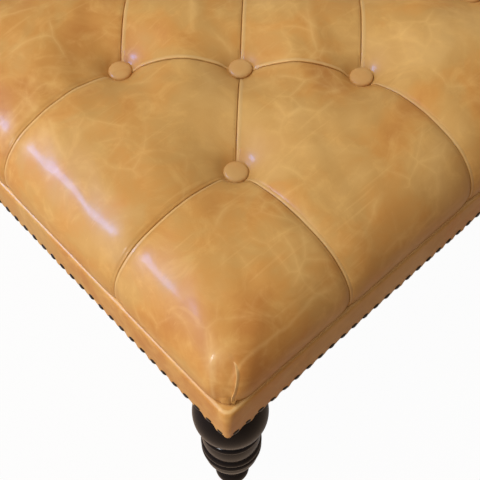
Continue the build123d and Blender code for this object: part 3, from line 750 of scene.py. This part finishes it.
verts[0] = notched.reshape(-1, 3)
cushion = mesh_object("tufted_cushion", np.vstack(verts), faces, leather)
# The valley attribute carries the painted shade; the stretch attribute carries stretch paleness and painted
# highlights
add_attribute(cushion, "valley", np.concatenate(painted_shade_attribute))
add_attribute(cushion, "stretch", np.concatenate(stretch_and_highlight_attribute))
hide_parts("cushion_cover", "cushion_batting", "cushion_foam")


# The covered buttons

BUTTON_PROFILE = np.array([  # radius and height above the seat, from the top round to the underside
    (0, 7.8), (4, 7.72), (8, 7.4), (11, 6.8), (13, 6.0), (14.3, 4.8), (14.9, 3.2), (14.9, 1.8), (14.4, 0.4),
    (13, -0.4), (9, -0.6), (0, -0.6),
]) * MM
BUTTON_SIDES = 56
BUTTON_RINGS = 26
BUTTON_TILT = 4  # degrees at most
GATHERS = 14  # round the rim
GATHER_DEPTH = 0.006  # of the radius
GATHERED = 0.2  # of the radius, from the rim in


def covered_buttons():
    """All the buttons, each a low leather dome, slightly tilted and gathered under its rim."""
    draw = np.random.default_rng(5)
    points, loops = [], []
    profile_points, _ = smooth_line(BUTTON_PROFILE, BUTTON_RINGS)
    for x, y, depth in tufts:
        first = len(points)
        about_x, about_y = (math.radians(draw.uniform(-BUTTON_TILT, BUTTON_TILT)) for _ in range(2))
        tilt = Matrix.Rotation(about_x, 3, "X") @ Matrix.Rotation(about_y, 3, "Y")
        phase = draw.uniform(0, 2 * math.pi)
        centre = Vector((x, y, BAND_TOP + CROWN - depth))
        for radius, height in profile_points[1:-1]:
            for n in range(BUTTON_SIDES):
                angle = 2 * math.pi * n / BUTTON_SIDES
                rim = max(0.0, (radius / BUTTON - (1 - GATHERED)) / GATHERED)
                r = radius * (1 + GATHER_DEPTH * rim * math.sin(GATHERS * angle + phase))
                local = Vector((r * math.cos(angle), r * math.sin(angle), height))
                points.append(centre + tilt @ local)
        rows = len(profile_points) - 2
        top, low = len(points), len(points) + 1
        points.append(centre + tilt @ Vector((0, 0, profile_points[0][1])))
        points.append(centre + tilt @ Vector((0, 0, profile_points[-1][1])))
        for n in range(BUTTON_SIDES):
            m = (n + 1) % BUTTON_SIDES
            loops.append((top, first + n, first + m))
            last = first + (rows - 1) * BUTTON_SIDES
            loops.append((low, last + m, last + n))
            for r in range(rows - 1):
                a = first + r * BUTTON_SIDES
                loops.append((a + n, a + BUTTON_SIDES + n, a + BUTTON_SIDES + m, a + m))
    obj = mesh_object("covered_buttons", [tuple(p) for p in points], loops, button_leather)
    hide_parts("button_covers")


covered_buttons()


# The band

BAND_SECTION = np.array([  # behind the face, above the band's lower edge
    (16, 0.0), (9, 0.0), (4, 0.0), (2.2, 0.0), (0.9, 0.3), (0.3, 1.0), (0.1, 2.2), (0.1, 4.5), (0, 7),
    (-0.3, 10), (-0.8, 14), (-1.2, 20), (-1.4, 30), (-1.2, 42), (-0.7, 52), (-0.2, 58.5), (0.2, 61.6),
    (1.1, 63.8), (2.6, 65.3), (4.4, 65.95), (6, 66), (9, 66), (14, 66), (22, 66), (22, 64.6), (10, 64.6),
    (4.6, 64.5), (2.8, 63.2), (1.9, 61), (1.3, 52), (0.8, 42), (0.6, 30), (0.9, 18), (1.6, 8), (1.6, 3),
    (2.6, 1.6), (16, 1.4),
]) * MM
PADDING_SECTION = np.array([
    (1.9, 3.5), (1.7, 8), (1.1, 18), (0.8, 30), (1.0, 42), (1.5, 52), (2.1, 60.5), (3.2, 63), (4.8, 64.2),
    (4.9, 62), (4.9, 3.5),
]) * MM
NAIL_PITCH = 19.4 * MM
NAIL_END = 13 * MM  # from the end of a side to its first nail
NAIL_RISE = 5.4 * MM  # above the band's lower edge
NAIL_RADIUS = 5.0 * MM
NAIL_DOME = 1.9 * MM
NAIL_SIDES = 20
NAIL_RINGS = (  # share of the radius, and share of the dome's height
    (1.0, -0.25), (1.0, 0.05), (0.95, 0.30), (0.80, 0.62), (0.56, 0.86), (0.28, 0.98),
)
NAIL_ASIDE, NAIL_ABOVE = 0.3 * MM, 0.25 * MM  # how far a nail is off its place at most
LOW_CORNER = 6 * MM  # radius of the band's corners at the bottom
HIGH_CORNER = 13 * MM  # and at the top
CORNER_FROM, CORNER_RISE = 30 * MM, 36 * MM  # it grows from this height, over this height
CORNER_PARTS = 10  # steps round a corner
PITCH_PARTS = 8  # steps from nail to nail
OUTSIDE_DEPTH, OUTSIDE_RISE = 0.5 * MM, 60 * MM  # the swelling keeps to the outside, below the top
PUFF = 1.9 * MM  # how far the leather swells between two nails
PUFF_RISE, PUFF_REACH = 3.5 * MM, 8 * MM  # height of its fullest place, and reach from there
PUFF_POWER = 1.2
SAG = 0.9 * MM  # how far the lower edge hangs down between two nails
SAG_RISE, SAG_DEPTH = 1 * MM, 5 * MM  # the lower edge ends here
SWELL_MEAN, SWELL_SPREAD = 0.75, 0.35  # strength of the swelling and sagging
GAPS = 97  # random strengths for each side; no side has more gaps between its nails
EDGE_HIGHLIGHT = 0.9  # painted highlight on the band's rounded upper edge, between these limits
EDGE_RISE = 64 * MM
EDGE_FRONT, EDGE_BACK = -1 * MM, 5 * MM


def band_line():
    """Samples round the band: side, place along it, share of the corner's turn, phase of the nails."""
    samples = []
    for side in range(4):
        half = (LENGTH / 2, WIDTH / 2)[side % 2]
        span = 2 * half - 2 * NAIL_END
        pitch = span / round(span / NAIL_PITCH)
        reach = half - HIGH_CORNER
        count = int(2 * reach / (pitch / PITCH_PARTS))
        for n in range(count + 1):
            t = -reach + 2 * reach * n / count
            phase = (t + span / 2) / pitch
            samples.append((side, t, 0.0, phase))
        for n in range(1, CORNER_PARTS):
            samples.append((side, reach, n / CORNER_PARTS, phase))
    return samples


def band_mesh(name, profile_section, material, node):
    """A layer of the band, drawn in at its nails and swelling between them."""
    outward = (Vector((0, -1, 0)), Vector((1, 0, 0)), Vector((0, 1, 0)), Vector((-1, 0, 0)))
    lumps = np.random.default_rng(8).uniform(-1, 1, (4, GAPS))
    rows = []
    for side, t, bend, phase in band_line():
        out, to_next = outward[side], outward[(side + 1) % 4]
        half_along, half_out = (LENGTH / 2, WIDTH / 2) if side % 2 == 0 else (WIDTH / 2, LENGTH / 2)
        swell = 0.5 if bend else 0.5 - 0.5 * math.cos(2 * math.pi * phase)
        strength = SWELL_MEAN + SWELL_SPREAD * lumps[side, int(phase)]
        row = []
        for back, rise in profile_section:
            high = min(max((rise - CORNER_FROM) / CORNER_RISE, 0), 1) ** 2
            corner = LOW_CORNER + (HIGH_CORNER - LOW_CORNER) * high
            outside = back < OUTSIDE_DEPTH and rise < OUTSIDE_RISE
            near_nail = math.exp(-((rise - PUFF_RISE) / PUFF_REACH) ** 2) if outside else 0.0
            puff = PUFF * strength * swell**PUFF_POWER * near_nail
            drop = SAG * strength * swell if rise < SAG_RISE and back < SAG_DEPTH else 0.0
            if bend:
                # Round the corner, the arc's centre lies behind both faces
                angle = bend * math.pi / 2
                radius = corner - back + puff
                point = to_next * (half_along - corner) + out * (half_out - corner)
                if radius > 0:
                    point += (out * math.cos(angle) + to_next * math.sin(angle)) * radius
                else:
                    point += (out + to_next) * radius
            else:
                share = (half_along - corner + min(corner - back, 0)) / (half_along - HIGH_CORNER)
                point = to_next * (t * share) + out * (half_out - back + puff)
            row.append(point + Vector((0, 0, BAND_BOTTOM + rise - drop)))
        rows.append(row)
    count, section = len(rows), len(profile_section)
    points = [tuple(p) for row in rows for p in row]
    loops = []
    for i in range(count):
        k = (i + 1) % count
        for j in range(section):
            m = (j + 1) % section
            loops.append((i * section + j, k * section + j, k * section + m, i * section + m))
    obj = mesh_object(name, points, loops, material)
    # A painted highlight along the band's rounded upper edge
    edge_highlight = [rise > EDGE_RISE and EDGE_FRONT < back < EDGE_BACK for back, rise in profile_section]
    add_attribute(obj, "stretch", np.tile(EDGE_HIGHLIGHT * np.array(edge_highlight), count))
    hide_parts(node)


band_mesh("band_cover", BAND_SECTION, leather, "band_leather")
band_mesh("band_wadding", PADDING_SECTION, cad_materials["batting"], "band_padding")


def nail_heads(name, along, outward, nodes):
    """The domed heads of the nails along one side."""
    half_along, half_out = (LENGTH / 2, WIDTH / 2) if along.x else (WIDTH / 2, LENGTH / 2)
    span = 2 * half_along - 2 * NAIL_END
    gaps = round(span / NAIL_PITCH)
    points, loops = [], []
    draw = np.random.default_rng(21)
    for n in range(gaps + 1):
        place = along * (-span / 2 + n * span / gaps + draw.uniform(-NAIL_ASIDE, NAIL_ASIDE))
        centre = place + outward * half_out
        centre.z = BAND_BOTTOM + NAIL_RISE + draw.uniform(-NAIL_ABOVE, NAIL_ABOVE)
        first = len(points)
        for share, lift in NAIL_RINGS:
            for m in range(NAIL_SIDES):
                angle = 2 * math.pi * m / NAIL_SIDES
                flat = along * math.cos(angle) + Vector((0, 0, math.sin(angle)))
                points.append(centre + flat * (NAIL_RADIUS * share) + outward * (NAIL_DOME * lift))
        last = len(points) - NAIL_SIDES
        top, low = len(points), len(points) + 1
        points.append(centre + outward * NAIL_DOME)
        points.append(centre + outward * NAIL_RINGS[0][1] * NAIL_DOME)
        for m in range(NAIL_SIDES):
            k = (m + 1) % NAIL_SIDES
            for row in range(first, last, NAIL_SIDES):
                loops.append((row + m, row + k, row + NAIL_SIDES + k, row + NAIL_SIDES + m))
            loops.append((last + m, last + k, top))
            loops.append((first + k, first + m, low))
    obj = mesh_object(name, [tuple(p) for p in points], loops, cad_materials["nail"])
    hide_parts(nodes)


nail_heads("nail_heads_front", Vector((1, 0, 0)), Vector((0, -1, 0)), "nails_front")
nail_heads("nail_heads_back", Vector((-1, 0, 0)), Vector((0, 1, 0)), "nails_back")
nail_heads("nail_heads_left", Vector((0, -1, 0)), Vector((-1, 0, 0)), "nails_left")
nail_heads("nail_heads_right", Vector((0, 1, 0)), Vector((1, 0, 0)), "nails_right")


# Finishes of the CAD nodes

slots = {part["node"]: part["material_slot"] for part in frame["record"]["subparts"]}
for name, obj in frame["nodes"].items():
    material = cad_materials[slots[name]]
    if not obj.material_slots:
        obj.data.materials.append(material)
    for place in obj.material_slots:
        place.material = material


# Floor, light and camera

MIRRORED_WHITE = 0.19  # how white the surround shows in the leather's and the nails' gloss
FLOOR_WHITE = 0.97  # how white the camera sees the floor; the rest takes the shadow
FLOOR_REACH = 12.0
FLOOR_TINT = (0.44, 0.26, 0.12)  # of the light that the floor throws back
WORLD_TINT = (1.0, 0.80, 0.62)  # of the surround's own light
WORLD_LEVEL = 0.28


def white_share(tree):
    """How white a ray finds the surround: the camera's wholly, and one from a glossy surface in part."""
    ray = tree.nodes.new("ShaderNodeLightPath").outputs
    mirrored = tree_math(tree, "MULTIPLY", ray["Is Glossy Ray"], MIRRORED_WHITE)
    shown = tree_math(tree, "MAXIMUM", ray["Is Camera Ray"], mirrored)
    return tree_math(tree, "MAXIMUM", shown, ray["Is Transmission Ray"])


def stage_floor():
    """A wide floor, white to the camera but for a soft shadow, and warm in the light that it throws back."""
    mesh = bpy.data.meshes.new("floor")
    corners = [(FLOOR_REACH * x, FLOOR_REACH * y, 0) for x, y in ((-1, -1), (1, -1), (1, 1), (-1, 1))]
    mesh.from_pydata(corners, [], [(0, 1, 2, 3)])
    floor = bpy.data.objects.new("floor", mesh)
    bpy.context.scene.collection.objects.link(floor)
    s = Surface("floor_white")
    s.finish(FLOOR_TINT, 0.8)
    glow = s.node("ShaderNodeEmission", {"Color": (1, 1, 1, 1), "Strength": 1.0})
    mixed = s.node("ShaderNodeMixShader")
    s.link(s.math("MULTIPLY", white_share(s.tree), FLOOR_WHITE), mixed.inputs[0])
    s.link(s.shader.outputs[0], mixed.inputs[1])
    s.link(glow.outputs[0], mixed.inputs[2])
    s.link(mixed.outputs[0], s.tree.nodes["Material Output"].inputs["Surface"])
    mesh.materials.append(s.material)


def area_light(name, direction, distance, size, power, colour=(1, 1, 1), length_along=(0, 1, 0)):
    """A flat lamp that looks at the ottoman from a direction, its first side along a given way."""
    lamp = bpy.data.lights.new(name, "AREA")
    lamp.shape = "RECTANGLE"
    lamp.size, lamp.size_y = size
    lamp.energy = power
    lamp.color = colour
    obj = bpy.data.objects.new(name, lamp)
    bpy.context.scene.collection.objects.link(obj)
    place = Vector(direction).normalized()
    along = Vector(length_along) - place * Vector(length_along).dot(place)
    along.normalize()
    turn = Matrix((along, place.cross(along), place)).transposed().to_4x4()
    turn.translation = Vector((0, 0, BAND_TOP)) + place * distance
    obj.matrix_world = turn
    return obj


def set_world():
    """A plain surround: white to the camera, dimmer and warm as light."""
    world = bpy.data.worlds.new("surround")
    bpy.context.scene.world = world
    world.use_nodes = True
    tree = world.node_tree
    lit, shown = tree.nodes["Background"], tree.nodes.new("ShaderNodeBackground")
    lit.inputs["Color"].default_value = (*WORLD_TINT, 1)
    lit.inputs["Strength"].default_value = WORLD_LEVEL
    shown.inputs["Color"].default_value = (1, 1, 1, 1)
    shown.inputs["Strength"].default_value = 1.0
    mixed = tree.nodes.new("ShaderNodeMixShader")
    tree.links.new(white_share(tree), mixed.inputs[0])
    tree.links.new(lit.outputs[0], mixed.inputs[1])
    tree.links.new(shown.outputs[0], mixed.inputs[2])
    tree.links.new(mixed.outputs[0], tree.nodes["World Output"].inputs["Surface"])


def set_camera():
    """The photograph's view, from above the near corner."""
    focal_pixels, frame_pixels, sensor = 889.7, 480, 36.0
    yaw, elevation, roll = (math.radians(turn) for turn in (42.718, 58.498, -0.298))
    offset = Vector((-214.0, -254.0, 908.3)) * MM  # from the near corner of the band's upper edge
    back = Vector((
        -math.sin(yaw) * math.cos(elevation), -math.cos(yaw) * math.cos(elevation), math.sin(elevation)
    ))
    right = (-back).cross(Vector((0, 0, 1))).normalized()
    up = right.cross(-back)
    turned_right = right * math.cos(roll) + up * math.sin(roll)
    turned_up = up * math.cos(roll) - right * math.sin(roll)
    data = bpy.data.cameras.new("camera")
    data.sensor_width = sensor
    data.lens = focal_pixels / frame_pixels * sensor
    data.clip_start = 0.01
    camera = bpy.data.objects.new("camera", data)
    bpy.context.scene.collection.objects.link(camera)
    turn = Matrix((turned_right, turned_up, back)).transposed().to_4x4()
    turn.translation = Vector((-LENGTH / 2, -WIDTH / 2, BAND_TOP)) + offset
    camera.matrix_world = turn
    bpy.context.scene.camera = camera


stage_floor()
set_world()
window = area_light(
    "window", (-0.72, 0.48, 0.50), distance=5.0, size=(2.1, 1.0), power=330, colour=(0.08, 0.34, 1.0),
    length_along=(0.13, 0.295, -0.097))
glint = area_light(
    "glint", (-0.88, -0.30, 0.38), distance=4.0, size=(0.4, 0.4), power=45, colour=(0.9, 0.94, 1.0))
ceiling = area_light(
    "ceiling", (-0.44, 0.20, 0.87), distance=8.0, size=(4.2, 4.2), power=508, colour=(0.96, 1.0, 1.0))
side_fill = area_light("side_fill", (-1.0, 0.0, 0.16), distance=4.0, size=(2.4, 1.6), power=58)
for lamp in (window, glint):
    lamp.visible_diffuse = False
for lamp in (ceiling, side_fill):
    lamp.visible_glossy = False
set_camera()

bpy.context.scene.view_settings.view_transform = "Standard"
